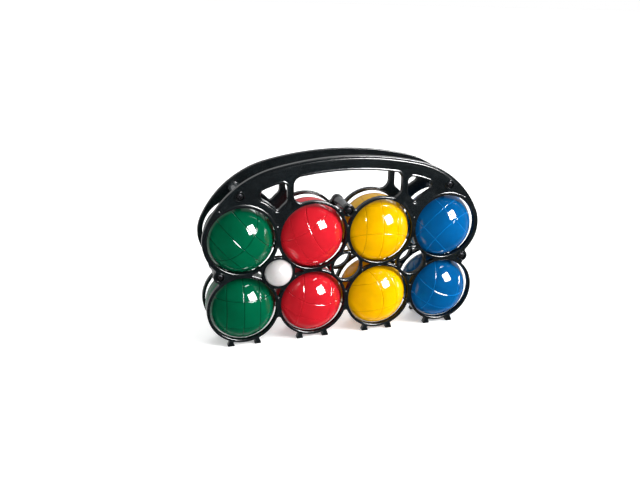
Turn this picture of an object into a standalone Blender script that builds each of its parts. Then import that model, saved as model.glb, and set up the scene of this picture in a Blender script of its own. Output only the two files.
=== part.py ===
"""Set of eight bocce balls and a jack in a carrier made of two moulded frames.

The carrier stands on its feet on z = 0. X runs along its rows, and Y from the front frame to the
back frame, with y = 0 midway between them. Lengths are in metres.
"""
import math

import bmesh
import bpy
from mathutils import Matrix, Vector
from mathutils.geometry import delaunay_2d_cdt

# Balls and the grid that they sit in.
PITCH = 0.076
BALL_RADIUS = 0.0375
JACK_RADIUS = 0.0148
GAP = 0.0003

# Frames: two plates with their outer faces DEPTH apart.
DEPTH = 0.045
PLATE = 0.006
BORE_RADIUS = 0.468 * PITCH
RING_RADIUS = 0.509 * PITCH
END_RING_RADIUS = 0.536 * PITCH
JACK_BORE_RADIUS = JACK_RADIUS + GAP
JACK_RING_RADIUS = JACK_BORE_RADIUS + 0.0029
BOSS_RADIUS = 0.088 * PITCH
BOSS_HEIGHT = 0.0008
BOSS_STEP = 0.0005

# Heights of the two rows, of the jack rings between them and of the arch above them.
LOWER_ROW = 0.555 * PITCH
UPPER_ROW = LOWER_ROW + PITCH
JACK_ROW = LOWER_ROW + 0.5 * PITCH
ARCH_TOP = LOWER_ROW + 2.11 * PITCH
COLUMNS = [column * PITCH for column in (-1.5, -0.5, 0.5, 1.5)]
JACK_COLUMNS = [column * PITCH for column in (-1.0, 0.0, 1.0)]

# The arch: a wide arc over the hand slot and a tighter one down each shoulder.
ARCH_RADIUS = 4.5 * PITCH
SHOULDER_RADIUS = 1.4 * PITCH
BAND = 0.2 * PITCH
SLOT_HALF_WIDTH = 0.785 * PITCH
SLOT_CORNER = 0.12 * PITCH
WINDOW_SIDE = 0.87 * PITCH
WINDOW_CLEARANCE = 0.64 * PITCH
WINDOW_BAND = 0.225 * PITCH
LINE_RADIUS = 10.0

# The groove in each outer face, LIP in from the arch, slot and windows and round the upper rings.
LIP = 0.0018
GROOVE = 0.0013
GROOVE_DEPTH = 0.0005

# Posts that join the frames, as (x, z): the top one, the two shoulders and the two ends.
POSTS = {
    "top": (0.0, LOWER_ROW + 1.34 * PITCH),
    "left_shoulder": (-1.52 * PITCH, LOWER_ROW + 1.63 * PITCH),
    "right_shoulder": (1.52 * PITCH, LOWER_ROW + 1.63 * PITCH),
    "left_end": (-1.815 * PITCH, LOWER_ROW + 0.51 * PITCH),
    "right_end": (1.815 * PITCH, LOWER_ROW + 0.51 * PITCH),
}
POST_RADIUS = 0.0055
SPIGOT_RADIUS = 0.0036
SPIGOT_LENGTH = 0.008
CUP_RADIUS = 0.0044
CUP_DEPTH = 0.0032
BLANK_CUP_DEPTH = 0.0012

# Self-tapping screws, one down each post from the front.
SHANK_RADIUS = 0.0015
SCREW_HOLE_RADIUS = SHANK_RADIUS + GAP
SHANK_END = 0.015
HEAD_RADIUS = 0.0036
HEAD_HEIGHT = 0.0022
DRIVE_LENGTH = 0.0042
DRIVE_WIDTH = 0.0009
DRIVE_DEPTH = 0.0012

# Feet under the lower rings, wider at the sole than at the neck.
FOOT_OFFSET = 0.19 * PITCH
FOOT_NECK = 0.0056
FOOT_SOLE = 0.0084

ARC_TOLERANCE = 0.00018
BALL_SEGMENTS = 20
BALL_RINGS = 12
ROUND_STEPS = 16
BALL_ROWS = {"upper": UPPER_ROW, "lower": LOWER_ROW}
BALL_COLOURS = {
    "green": (0.0, 0.16, 0.06),
    "red": (0.62, 0.01, 0.02),
    "yellow": (0.9, 0.52, 0.0),
    "blue": (0.005, 0.10, 0.36),
}


# ---------------------------------------------------------------- scene

def clear_scene():
    for obj in list(bpy.data.objects):
        bpy.data.objects.remove(obj, do_unlink=True)


def new_collection(name):
    collection = bpy.data.collections.new(name)
    bpy.context.scene.collection.children.link(collection)
    return collection


def plastic(name, colour, roughness, metallic=0.0):
    material = bpy.data.materials.new(name)
    material.use_nodes = True
    shader = material.node_tree.nodes["Principled BSDF"]
    shader.inputs["Base Color"].default_value = (*colour, 1.0)
    shader.inputs["Roughness"].default_value = roughness
    shader.inputs["Metallic"].default_value = metallic
    return material


def new_object(name, data, collection, material=None, location=(0.0, 0.0, 0.0)):
    obj = bpy.data.objects.new(name, data)
    obj.location = location
    collection.objects.link(obj)
    if material is not None and not data.materials:
        data.materials.append(material)
    return obj


def make_cutter(name, mesh, collection):
    """An object that shapes another one and is no piece itself."""
    obj = new_object(name, mesh, collection)
    obj.hide_render = True
    obj.display_type = "WIRE"
    return obj


def add_boolean(obj, operand, operation):
    modifier = obj.modifiers.new(operation.title() + " " + operand.name, "BOOLEAN")
    modifier.operation = operation
    modifier.object = operand


def mesh_of(obj, name):
    """Evaluated mesh of a curve or screw object, welded and facing out; the object goes."""
    evaluated = obj.evaluated_get(bpy.context.evaluated_depsgraph_get())
    mesh = bpy.data.meshes.new_from_object(evaluated)
    mesh.name = name
    bpy.data.objects.remove(obj, do_unlink=True)
    bm = bmesh.new()
    bm.from_mesh(mesh)
    bmesh.ops.remove_doubles(bm, verts=bm.verts, dist=1e-6)
    bmesh.ops.recalc_face_normals(bm, faces=bm.faces)
    bm.to_mesh(mesh)
    bm.free()
    return mesh


# ---------------------------------------------------------------- flat outlines

class Edge:
    """A stretch of outline along a circle, with the outlined area inside or outside it."""

    def __init__(self, x, z, radius, inside=True):
        self.centre = Vector((x, z))
        self.radius = radius
        self.side = 1 if inside else -1

    def mirrored(self):
        return Edge(-self.centre.x, self.centre.y, self.radius, self.side > 0)


def straight(start, end):
    """A nearly straight edge through start and end, with the area on its left."""
    start, end = Vector(start), Vector(end)
    along = (end - start).normalized()
    centre = (start + end) / 2.0 + Vector((-along.y, along.x)) * LINE_RADIUS
    return Edge(centre.x, centre.y, LINE_RADIUS)


def upright(x, downwards):
    """A straight edge at x, with the area on its left as it runs down or up."""
    ends = [(x, UPPER_ROW), (x, ARCH_TOP)]
    return straight(*(reversed(ends) if downwards else ends))


def circle_crossing(first, first_radius, second, second_radius, hint):
    """The crossing of two circles that lies nearest to hint; a touching pair gives its touch."""
    offset = second - first
    distance = offset.length
    along = (distance ** 2 + first_radius ** 2 - second_radius ** 2) / (2.0 * distance)
    across = math.sqrt(max(first_radius ** 2 - along ** 2, 0.0))
    direction = offset / distance
    normal = Vector((-direction.y, direction.x))
    middle = first + direction * along
    crossings = (middle + normal * across, middle - normal * across)
    return min(crossings, key=lambda point: (point - hint).length)


def arc_points(centre, radius, start, end, turn):
    """Points from start to just before end, round centre, with turn +1 anticlockwise."""
    first = math.atan2(start.y - centre.y, start.x - centre.x)
    last = math.atan2(end.y - centre.y, end.x - centre.x)
    sweep = (last - first) * turn
    if sweep < -1e-5:
        sweep += 2.0 * math.pi
    largest = 2.0 * math.acos(1.0 - min(ARC_TOLERANCE / radius, 0.25))
    count = max(1, math.ceil(sweep / largest))
    angles = [first + turn * sweep * step / count for step in range(count)]
    return [centre + radius * Vector((math.cos(a), math.sin(a))) for a in angles]


def outline(edges, corners):
    """Closed outline, anticlockwise, through edges; corners[i] lies after edges[i].

    A corner is (fillet radius, hint). A positive fillet rounds a corner of the area, a negative
    one fills a notch in it, and zero joins two edges where they cross or touch.
    """
    centres = []
    for index, (fillet, hint) in enumerate(corners):
        one = edges[index]
        two = edges[(index + 1) % len(edges)]
        reach_one = one.radius - one.side * fillet
        reach_two = two.radius - two.side * fillet
        centre = circle_crossing(one.centre, reach_one, two.centre, reach_two, Vector(hint))
        centres.append(centre)

    def touch(edge, index):
        fillet = corners[index][0]
        if fillet == 0.0:
            return centres[index]
        return edge.centre + (centres[index] - edge.centre).normalized() * edge.radius

    points = []
    for index, edge in enumerate(edges):
        start = touch(edge, index - 1)
        end = touch(edge, index)
        points += arc_points(edge.centre, edge.radius, start, end, edge.side)
        fillet = corners[index][0]
        if fillet != 0.0:
            following = touch(edges[(index + 1) % len(edges)], index)
            turn = 1 if fillet > 0.0 else -1
            points += arc_points(centres[index], abs(fillet), end, following, turn)
    return points


def circle(x, z, radius, count=None):
    if count is None:
        largest = 2.0 * math.acos(1.0 - ARC_TOLERANCE / radius)
        count = 4 * math.ceil(math.pi / (2.0 * largest))
    angles = [2.0 * math.pi * step / count for step in range(count)]
    return [Vector((x + radius * math.cos(a), z + radius * math.sin(a))) for a in angles]


def mirror(points):
    return [Vector((-point.x, point.y)) for point in reversed(points)]


def encloses(points, place):
    """Whether a closed outline goes round place, by counting its crossings of a level line."""
    inside = False
    previous = points[-1]
    for point in points:
        if (point.y > place.y) != (previous.y > place.y):
            along = (place.y - point.y) / (previous.y - point.y)
            if place.x < point.x + along * (previous.x - point.x):
                inside = not inside
        previous = point
    return inside


def filled(outlines, keep):
    """Flat bmesh in the XZ plane, divided along outlines, of the faces that keep accepts."""
    places = []
    links = []
    for points in outlines:
        first = len(places)
        places += points
        links += [(first + i, first + (i + 1) % len(points)) for i in range(len(points))]
    places, _, faces = delaunay_2d_cdt(places, links, [], 1, 1e-7)[:3]
    bm = bmesh.new()
    verts = [bm.verts.new((place.x, 0.0, place.y)) for place in places]
    for face in faces:
        middle = sum((places[i] for i in face), Vector((0.0, 0.0))) / len(face)
        if keep(middle):
            bm.faces.new([verts[i] for i in face])
    loose = [vert for vert in bm.verts if not vert.link_faces]
    bmesh.ops.delete(bm, geom=loose, context="VERTS")
    return bm


# ---------------------------------------------------------------- the frame's outlines

def ring(column, row, inside=True, radius=RING_RADIUS):
    return Edge(COLUMNS[column], row, radius, inside)


def arch(inset, inside=True):
    return Edge(0.0, ARCH_TOP - ARCH_RADIUS, ARCH_RADIUS - inset, inside)


def right_shoulder(inset):
    """Arc that touches the arch from within and runs on round the upper right ring."""
    top = arch(0.0)
    end_ring = ring(3, UPPER_ROW, True, END_RING_RADIUS)
    centre = circle_crossing(
        top.centre, ARCH_RADIUS - SHOULDER_RADIUS,
        end_ring.centre, SHOULDER_RADIUS - END_RING_RADIUS, Vector((PITCH, PITCH)))
    return Edge(centre.x, centre.y, SHOULDER_RADIUS - inset)


def end_boss(side):
    x, z = POSTS["right_end"]
    return Edge(side * x, z, BOSS_RADIUS)


def foot_edges(x):
    """Left flank, sole and right flank of a foot about x."""
    top = LOWER_ROW - RING_RADIUS
    half_neck = FOOT_NECK / 2.0
    half_sole = FOOT_SOLE / 2.0
    left_sole = (x - half_sole, 0.0)
    right_sole = (x + half_sole, 0.0)
    edges = [straight((x - half_neck, top), left_sole), straight(left_sole, right_sole),
             straight(right_sole, (x + half_neck, top))]
    crossings = [(0.0, left_sole), (0.0, right_sole)]
    return edges, crossings


def lower_ring_edges(column):
    """Outside of a lower ring, from its left side under its two feet to its right side."""
    below = LOWER_ROW - RING_RADIUS
    edges = [ring(column, LOWER_ROW)]
    corners = []
    for offset in (-FOOT_OFFSET, FOOT_OFFSET):
        x = COLUMNS[column] + offset
        foot, crossings = foot_edges(x)
        corners += [(0.0, (x - FOOT_NECK, below))] + crossings + [(0.0, (x + FOOT_NECK, below))]
        edges += foot + [ring(column, LOWER_ROW)]
    return edges, corners


def frame_outline():
    shoulder = right_shoulder(0.0)
    beyond = 2.2 * PITCH
    above_boss = JACK_ROW + 0.3 * PITCH
    below_boss = JACK_ROW - 0.3 * PITCH
    web = -0.0025
    end_rings = [ring(column, UPPER_ROW, True, END_RING_RADIUS) for column in (0, 3)]
    edges = [shoulder, arch(0.0), shoulder.mirrored(), end_rings[0], end_boss(-1)]
    corners = [(0.0, (PITCH, ARCH_TOP)), (0.0, (-PITCH, ARCH_TOP)), (0.0, (-beyond, UPPER_ROW)),
               (web, (-beyond, above_boss)), (web, (-beyond, below_boss))]
    for column in range(len(COLUMNS)):
        ring_edges, ring_corners = lower_ring_edges(column)
        edges += ring_edges
        corners += ring_corners
        if column < len(JACK_COLUMNS):
            corners.append((web, (JACK_COLUMNS[column], -PITCH)))
    edges += [end_boss(1), end_rings[1]]
    corners += [(web, (beyond, below_boss)), (web, (beyond, above_boss)),
                (0.0, (beyond, UPPER_ROW))]
    return outline(edges, corners)


def slot_outline():
    """Hand slot: under the arch, above the two middle rings and the top boss."""
    x, z = POSTS["top"]
    top = arch(BAND)
    left = upright(-SLOT_HALF_WIDTH, True)
    edges = [top, left, ring(1, UPPER_ROW, False), Edge(x, z, BOSS_RADIUS, False),
             ring(2, UPPER_ROW, False), left.mirrored()]
    neck = 0.03 * PITCH
    corners = [(SLOT_CORNER, (-SLOT_HALF_WIDTH, ARCH_TOP)), (SLOT_CORNER, (-PITCH, z)),
               (neck, (x, ARCH_TOP)), (neck, (x, ARCH_TOP)),
               (SLOT_CORNER, (PITCH, z)), (SLOT_CORNER, (SLOT_HALF_WIDTH, ARCH_TOP))]
    return outline(edges, corners)


def window_outline(grown):
    """Three-sided window left of the slot, grown outwards all round."""
    top = right_shoulder(WINDOW_BAND - grown).mirrored()
    keep = WINDOW_CLEARANCE - grown
    side = upright(grown - WINDOW_SIDE, False)
    edges = [top, ring(0, UPPER_ROW, False, keep), ring(1, UPPER_ROW, False, keep), side]
    level = UPPER_ROW + 0.5 * PITCH
    corners = [(0.075 * PITCH + grown, (-1.3 * PITCH, level)),
               (0.03 * PITCH + grown, (-PITCH, level)),
               (0.08 * PITCH + grown, (-WINDOW_SIDE, level)),
               (0.07 * PITCH + grown, (-WINDOW_SIDE, ARCH_TOP))]
    return outline(edges, corners)


def gap_outlines():
    """Small three-sided gaps round each jack ring and under the top boss."""
    fillet = 0.0007
    gaps = []
    for index, x in enumerate(JACK_COLUMNS):
        jack = Edge(x, JACK_ROW, JACK_RING_RADIUS, False)
        upper = [ring(column, UPPER_ROW, False) for column in (index, index + 1)]
        lower = [ring(column, LOWER_ROW, False) for column in (index, index + 1)]
        reach = 0.3 * PITCH
        gaps += [
            ([upper[0], lower[0], jack], (x - reach, JACK_ROW)),
            ([upper[1], jack, lower[1]], (x + reach, JACK_ROW)),
            ([upper[0], jack, upper[1]], (x, JACK_ROW + reach)),
            ([jack, lower[0], lower[1]], (x, JACK_ROW - reach)),
        ]
    x, z = POSTS["top"]
    boss = Edge(x, z, BOSS_RADIUS, False)
    middle_rings = [ring(1, UPPER_ROW, False), ring(2, UPPER_ROW, False)]
    gaps.append(([boss] + middle_rings, (x, z - 0.12 * PITCH)))
    return [outline(edges, [(fillet, hint)] * 3) for edges, hint in gaps]


def web_outlines(inset):
    """The web above the upper rings, inset from the arch and slot, and the windows grown by it."""
    lip_radius = RING_RADIUS + inset - LIP
    shoulder = right_shoulder(inset)
    side = upright(-SLOT_HALF_WIDTH - inset, False)
    slot_top = arch(BAND - inset, False)
    corner_x = SLOT_HALF_WIDTH - SLOT_CORNER
    reach = ARCH_RADIUS - BAND - SLOT_CORNER
    corner_z = slot_top.centre.y + math.sqrt(reach ** 2 - corner_x ** 2)
    corner = Edge(-corner_x, corner_z, SLOT_CORNER + inset, False)
    small = 0.0008
    lips = [ring(column, UPPER_ROW, False, lip_radius) for column in range(len(COLUMNS))]
    edges = [shoulder, arch(inset), shoulder.mirrored(), lips[0], lips[1], side, corner,
             slot_top, corner.mirrored(), side.mirrored(), lips[2], lips[3]]
    level = UPPER_ROW + 0.5 * PITCH
    left = [(0.0, (-PITCH, ARCH_TOP)), (small, (-2.0 * PITCH, level)), (small, (-PITCH, level)),
            (small, (-SLOT_HALF_WIDTH, level)), (0.0, (-SLOT_HALF_WIDTH, corner_z)),
            (0.0, (-corner_x, ARCH_TOP))]
    right = [(radius, (-x, z)) for radius, (x, z) in reversed(left)]
    corners = [right[-1]] + left + right[:-1]
    window = window_outline(inset)
    return [outline(edges, corners), window, mirror(window)]


# ---------------------------------------------------------------- turned shapes

def turned(name, profile):
    """Solid of revolution about Z from (radius, z) points that run down its outer side."""
    mesh = bpy.data.meshes.new(name)
    points = [(radius, 0.0, z) for radius, z in profile]
    mesh.from_pydata(points, [(i, i + 1) for i in range(len(points) - 1)], [])
    obj = bpy.data.objects.new(name, mesh)
    bpy.context.scene.collection.objects.link(obj)
    screw = obj.modifiers.new("Turn", "SCREW")
    screw.steps = ROUND_STEPS
    screw.render_steps = ROUND_STEPS
    screw.use_merge_vertices = True
    screw.merge_threshold = 0.00001
    return mesh_of(obj, name)


def outwards(side, x, z):
    """Matrix that stands a turned shape on (x, z) with its +Z pointing away from the balls."""
    return Matrix.Translation((x, 0.0, z)) @ Matrix.Rotation(-side * math.pi / 2.0, 4, "X")


# ---------------------------------------------------------------- frames

def post_circles(side, x, z):
    """Circles about a post's axis, from its boss in to its screw hole."""
    inner = SPIGOT_RADIUS if side < 0 else SPIGOT_RADIUS + GAP
    radii = (BOSS_RADIUS - BOSS_STEP, POST_RADIUS, CUP_RADIUS, inner, SCREW_HOLE_RADIUS)
    return [circle(x, z, radius, ROUND_STEPS) for radius in radii]


def frame_sheet(side):
    """Flat sheet of the whole frame, divided where its depth changes, with no holes filled."""
    body = frame_outline()
    holes = [slot_outline(), window_outline(0.0), mirror(window_outline(0.0))]
    holes += gap_outlines()
    holes += [circle(x, z, BORE_RADIUS) for x in COLUMNS for z in (LOWER_ROW, UPPER_ROW)]
    holes += [circle(x, JACK_ROW, JACK_BORE_RADIUS) for x in JACK_COLUMNS]
    steps = web_outlines(LIP) + web_outlines(LIP + GROOVE)
    for x, z in POSTS.values():
        steps += post_circles(side, x, z)

    def keep(place):
        return encloses(body, place) and not any(encloses(hole, place) for hole in holes)

    return filled([body] + holes + steps, keep)


def extrude(bm, faces, distance):
    """Faces moved by distance along Y as one region, with walls left behind."""
    edges = {edge for face in faces for edge in face.edges}
    corners = {vert for face in faces for vert in face.verts}
    result = bmesh.ops.extrude_face_region(bm, geom=faces + list(edges) + list(corners))
    moved = [item for item in result["geom"] if isinstance(item, bmesh.types.BMFace)]
    verts = {vert for face in moved for vert in face.verts}
    bmesh.ops.translate(bm, verts=list(verts), vec=(0.0, distance, 0.0))
    return moved


def pierce(bm, first, second):
    """A hole from one disc of faces through to the other."""
    discs = set(first + second)
    rims = [edge for edge in bm.edges if len(discs.intersection(edge.link_faces)) == 1]
    bmesh.ops.delete(bm, geom=list(discs), context="FACES")
    bmesh.ops.bridge_loops(bm, edges=rims)


def faces_within(faces, x, z, radius):
    """The faces still in place whose middles lie within radius of the axis through (x, z)."""
    found = []
    for face in filter(lambda item: item.is_valid, faces):
        middle = face.calc_center_median()
        if math.hypot(middle.x - x, middle.z - z) < radius:
            found.append(face)
    return found


def make_frame(name, side, material, parts):
    """One moulded frame: side is -1 for the front and +1 for the back."""
    bm = frame_sheet(side)
    inner_faces = list(bm.faces)
    outer_faces = extrude(bm, inner_faces, side * PLATE)
    lips = web_outlines(LIP)
    web = web_outlines(LIP + GROOVE)

    def within(outlines, place):
        area, *windows = outlines
        return encloses(area, place) and not any(encloses(window, place) for window in windows)

    def in_groove(face):
        centre = face.calc_center_median()
        place = Vector((centre.x, centre.z))
        reach = BOSS_RADIUS - BOSS_STEP
        on_boss = any((place - Vector(post)).length < reach for post in POSTS.values())
        return within(lips, place) and not within(web, place) and not on_boss

    extrude(bm, [face for face in outer_faces if in_groove(face)], -side * GROOVE_DEPTH)
    cup_depth = CUP_DEPTH if side < 0 else BLANK_CUP_DEPTH
    post_length = DEPTH / 2.0 - PLATE - GAP / 2.0
    for x, z in POSTS.values():
        boss = extrude(bm, faces_within(outer_faces, x, z, BOSS_RADIUS), side * BOSS_HEIGHT)
        cup_floor = extrude(bm, faces_within(boss, x, z, CUP_RADIUS), -side * cup_depth)
        post = extrude(bm, faces_within(inner_faces, x, z, POST_RADIUS), -side * post_length)
        if side < 0:
            tip = extrude(bm, faces_within(post, x, z, SPIGOT_RADIUS), SPIGOT_LENGTH)
            pierce(bm, faces_within(cup_floor, x, z, SCREW_HOLE_RADIUS),
                   faces_within(tip, x, z, SCREW_HOLE_RADIUS))
        else:
            socket = faces_within(post, x, z, SPIGOT_RADIUS + GAP)
            socket_floor = extrude(bm, socket, SPIGOT_LENGTH + GAP)
            pilot = faces_within(socket_floor, x, z, SCREW_HOLE_RADIUS)
            extrude(bm, pilot, SHANK_END - SPIGOT_LENGTH)
    bmesh.ops.recalc_face_normals(bm, faces=bm.faces)
    mesh = bpy.data.meshes.new(name)
    bm.to_mesh(mesh)
    bm.free()
    new_object(name, mesh, parts, material, (0.0, side * (DEPTH / 2.0 - PLATE), 0.0))


# ---------------------------------------------------------------- pieces

def make_screws(material, parts, cutters):
    """Five pan-head screws with their heads in the front cups."""
    seat = DEPTH / 2.0 + BOSS_HEIGHT - CUP_DEPTH + GAP
    top = seat + HEAD_HEIGHT
    shoulder = 0.7 * HEAD_RADIUS
    tip = 0.4 * SHANK_RADIUS
    profile = [(0.0, top), (shoulder, top), (HEAD_RADIUS, top - 0.4 * HEAD_HEIGHT),
               (HEAD_RADIUS, seat), (SHANK_RADIUS, seat), (SHANK_RADIUS, 0.002 - SHANK_END),
               (tip, -SHANK_END), (0.0, -SHANK_END)]
    mesh = turned("screw", profile)
    drive = bmesh.new()
    for length, width in ((DRIVE_LENGTH, DRIVE_WIDTH), (DRIVE_WIDTH, DRIVE_LENGTH)):
        size = Matrix.Diagonal((length, width, 2.0 * DRIVE_DEPTH, 1.0))
        bmesh.ops.create_cube(drive, size=1.0, matrix=Matrix.Translation((0.0, 0.0, top)) @ size)
    drive_mesh = bpy.data.meshes.new("screw_drive")
    drive.to_mesh(drive_mesh)
    drive.free()
    for name, (x, z) in POSTS.items():
        screw = new_object("screw_" + name, mesh, parts, material)
        screw.matrix_world = outwards(-1, x, z)
        cutter = make_cutter("drive_" + name, drive_mesh, cutters)
        cutter.matrix_world = screw.matrix_world
        add_boolean(screw, cutter, "DIFFERENCE")
        screw.modifiers[0].use_self = True


def sphere(name, radius):
    bm = bmesh.new()
    bmesh.ops.create_uvsphere(bm, u_segments=BALL_SEGMENTS, v_segments=BALL_RINGS, radius=radius)
    mesh = bpy.data.meshes.new(name)
    bm.to_mesh(mesh)
    bm.free()
    mesh.shade_smooth()
    return mesh


def make_balls(parts):
    """Two balls of each colour, resting low in their rings on the inner edges of the bores."""
    edge = DEPTH / 2.0 - PLATE
    drop = BORE_RADIUS - math.sqrt((BALL_RADIUS + GAP) ** 2 - edge ** 2)
    for (colour, tint), x in zip(BALL_COLOURS.items(), COLUMNS):
        mesh = sphere("ball_" + colour, BALL_RADIUS)
        material = plastic("ball_" + colour, tint, 0.12)
        for row, z in BALL_ROWS.items():
            new_object("ball_" + colour + "_" + row, mesh, parts, material, (x, 0.0, z - drop))


def make_jack(parts):
    """Small white target ball, pressed into the left jack ring of the front frame."""
    middle = (PLATE - DEPTH) / 2.0
    material = plastic("jack", (0.85, 0.85, 0.83), 0.3)
    mesh = sphere("jack", JACK_RADIUS)
    new_object("jack_ball", mesh, parts, material, (JACK_COLUMNS[0], middle, JACK_ROW))


def build():
    clear_scene()
    parts = new_collection("bocce_ball_set")
    cutters = new_collection("cutters")
    black = plastic("frame_plastic", (0.012, 0.013, 0.015), 0.25)
    steel = plastic("screw_steel", (0.1, 0.1, 0.11), 0.35, 1.0)
    make_frame("front_frame", -1, black, parts)
    make_frame("back_frame", 1, black, parts)
    make_screws(steel, parts, cutters)
    make_balls(parts)
    make_jack(parts)


build()
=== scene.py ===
"""Looks of the bocce ball set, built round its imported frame.

X runs along the rows, Y from the front frame to the back one, and Z up. Lengths are in metres.
"""
import math
import random

import bmesh
import bpy
import numpy as np
from mathutils import Matrix, Vector
from mathutils.geometry import delaunay_2d_cdt


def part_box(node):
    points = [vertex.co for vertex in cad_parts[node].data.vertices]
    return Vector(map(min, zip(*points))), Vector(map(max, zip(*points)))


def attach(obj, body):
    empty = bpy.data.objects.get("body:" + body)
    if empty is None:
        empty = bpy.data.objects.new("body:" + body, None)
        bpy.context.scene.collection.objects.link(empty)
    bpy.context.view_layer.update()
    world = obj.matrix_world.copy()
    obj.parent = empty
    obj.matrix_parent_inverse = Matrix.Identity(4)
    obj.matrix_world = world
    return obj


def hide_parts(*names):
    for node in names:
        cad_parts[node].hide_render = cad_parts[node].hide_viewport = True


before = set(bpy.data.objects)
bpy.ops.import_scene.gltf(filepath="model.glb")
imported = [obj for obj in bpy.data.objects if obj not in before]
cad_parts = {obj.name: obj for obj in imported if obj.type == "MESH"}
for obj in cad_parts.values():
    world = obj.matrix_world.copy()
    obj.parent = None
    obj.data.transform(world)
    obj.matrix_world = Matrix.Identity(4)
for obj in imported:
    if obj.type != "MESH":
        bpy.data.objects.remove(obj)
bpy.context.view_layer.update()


def centre(node):
    low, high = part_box(node)
    return (low + high) / 2.0


# Balls and the grid that they sit in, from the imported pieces.
PITCH = centre("ball_red_upper").x - centre("ball_green_upper").x
BALL_RADIUS = (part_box("ball_red_upper")[1].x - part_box("ball_red_upper")[0].x) / 2.0
JACK_RADIUS = (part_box("jack_ball")[1].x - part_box("jack_ball")[0].x) / 2.0
GAP = 0.0003

# Frames: two plates with their outer faces DEPTH apart.
BOSS_HEIGHT = 0.0008
DEPTH = 2.0 * (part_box("back_frame")[1].y - BOSS_HEIGHT)
PLATE = 0.006
BORE_RADIUS = 0.468 * PITCH
RING_RADIUS = 0.509 * PITCH
END_RING_RADIUS = 0.536 * PITCH
JACK_BORE_RADIUS = JACK_RADIUS + GAP
JACK_RING_RADIUS = JACK_BORE_RADIUS + 0.0029
BOSS_RADIUS = 0.088 * PITCH
BOSS_SETBACK = 0.0003
BOSS_BEVEL = 0.0006
CUP_CLEARANCE = 0.0006
EDGE_ROUND = 0.0008
INNER_ROUND = 0.0004

# Heights of the two rows, of the jack rings between them and of the arch above them.
LOWER_ROW = 0.555 * PITCH
UPPER_ROW = LOWER_ROW + PITCH
JACK_ROW = LOWER_ROW + 0.5 * PITCH
ARCH_TOP = LOWER_ROW + 2.11 * PITCH
COLUMNS = [column * PITCH for column in (-1.5, -0.5, 0.5, 1.5)]
JACK_COLUMNS = [column * PITCH for column in (-1.0, 0.0, 1.0)]

# The arch: a wide arc over the hand slot and a tighter one down each shoulder.
ARCH_RADIUS = 4.5 * PITCH
SHOULDER_RADIUS = 1.4 * PITCH
BAND = 0.2 * PITCH
SLOT_HALF_WIDTH = 0.785 * PITCH
SLOT_CORNER = 0.12 * PITCH
WINDOW_SIDE = 0.87 * PITCH
WINDOW_CLEARANCE = 0.64 * PITCH
WINDOW_BAND = 0.225 * PITCH
LINE_RADIUS = 10.0

# The groove in each outer face, LIP in from the arch, slot and windows and round the upper rings.
LIP = 0.0018
GROOVE = 0.0013
GROOVE_DEPTH = 0.0005

# Posts that join the frames, as (x, z).
POSTS = {
    "top": (0.0, LOWER_ROW + 1.34 * PITCH),
    "left_shoulder": (-1.52 * PITCH, LOWER_ROW + 1.63 * PITCH),
    "right_shoulder": (1.52 * PITCH, LOWER_ROW + 1.63 * PITCH),
    "left_end": (-1.815 * PITCH, LOWER_ROW + 0.51 * PITCH),
    "right_end": (1.815 * PITCH, LOWER_ROW + 0.51 * PITCH),
}
POST_RADIUS = 0.0055
POST_FLARE = 0.0007
SPIGOT_RADIUS = 0.0036
SPIGOT_LENGTH = 0.008
CUP_DEPTH = 0.0032
BLANK_CUP_DEPTH = 0.0012

# Screws.
SHANK_RADIUS = 0.0015
SCREW_HOLE_RADIUS = SHANK_RADIUS + GAP
SHANK_END = 0.015
HEAD_RADIUS = 0.0036
HEAD_HEIGHT = 0.0022
THREAD_PITCH = 0.0013
THREAD_DEPTH = 0.00045
THREAD_ROWS = 8
SCREW_STEPS = 32
DRIVE_BOTTOM = 0.0012
DRIVE_TOP = 0.0029
DRIVE_LENGTH = 0.0016
DRIVE_SLIM = 0.28

# Feet under the lower rings.
FOOT_OFFSET = 0.19 * PITCH
FOOT_NECK = 0.0056
FOOT_SOLE = 0.0084

ARC_TOLERANCE = 0.000012
POST_STEPS = 48
WELD = 0.000002
MOULDING_SHARP = math.radians(50.0)
SCREW_SHARP = math.radians(35.0)

# Grooves round the balls: three side by side and two that cross them at right angles.
BALL_GROOVES = ((2, -0.47), (2, 0.0), (2, 0.47), (1, -0.41), (1, 0.41))
BALL_GROOVE_HALF = 0.00075
BALL_GROOVE_DEPTH = 0.0004
JACK_SEAM_HALF = 0.00022
JACK_SEAM_DEPTH = 0.00012

# How each ball has rolled to rest, which is arbitrary: the seed and the furthest lean.
ROLL_SEED = 1
ROLL_LEAN = math.radians(30.0)

BALL_COLOURS = {
    "green": (0.0, 0.095, 0.041),
    "red": (0.57, 0.013, 0.023),
    "yellow": (0.90, 0.47, 0.0),
    "blue": (0.001, 0.092, 0.285),
}
# Painted light in a groove's bottom against its ball's colour: shade below 1, reflection above.
GROOVE_PAINTED_LIGHT = {"green": 0.45, "red": 0.85, "yellow": 0.7, "blue": 1.7}


# Light: the dome's strength at the horizon and overhead, what glossy pieces mirror of it in
# front of and behind the set, and the key light's strength as light and as highlight, its
# direction as each and its width over its distance. The highlight's light is nearer than the
# soft ones, which would otherwise hide it. Two weaker lights fill the front and the back. The
# floor glows a little, its shadow is lifted by FLOOR_LIFT for the camera, and it fades to white
# with distance over FLOOR_FADE.
DOME_LOW = 0.12
DOME_HIGH = 0.6
SHINE_FRONT = 0.02
SHINE_BACK = 0.6
KEY = 22.0
KEY_SHINE = 110.0
KEY_SIDE = (0.90, -0.50, 0.50)
KEY_RAY = (0.55, -0.66, 0.55)
KEY_WIDTH = 0.44
FILL = 4.0
FILL_RAY = (-0.25, -0.86, 0.45)
BACK_FILL = 11.0
BACK_RAY = (0.20, 0.85, 0.50)
KEY_DISTANCE = 13.2
SHINE_DISTANCE = 12.0
LIGHT_TARGET = (0.0, 0.0, 0.1)
FLOOR_GLOW = 0.06
FLOOR_LIFT = 0.3
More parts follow.
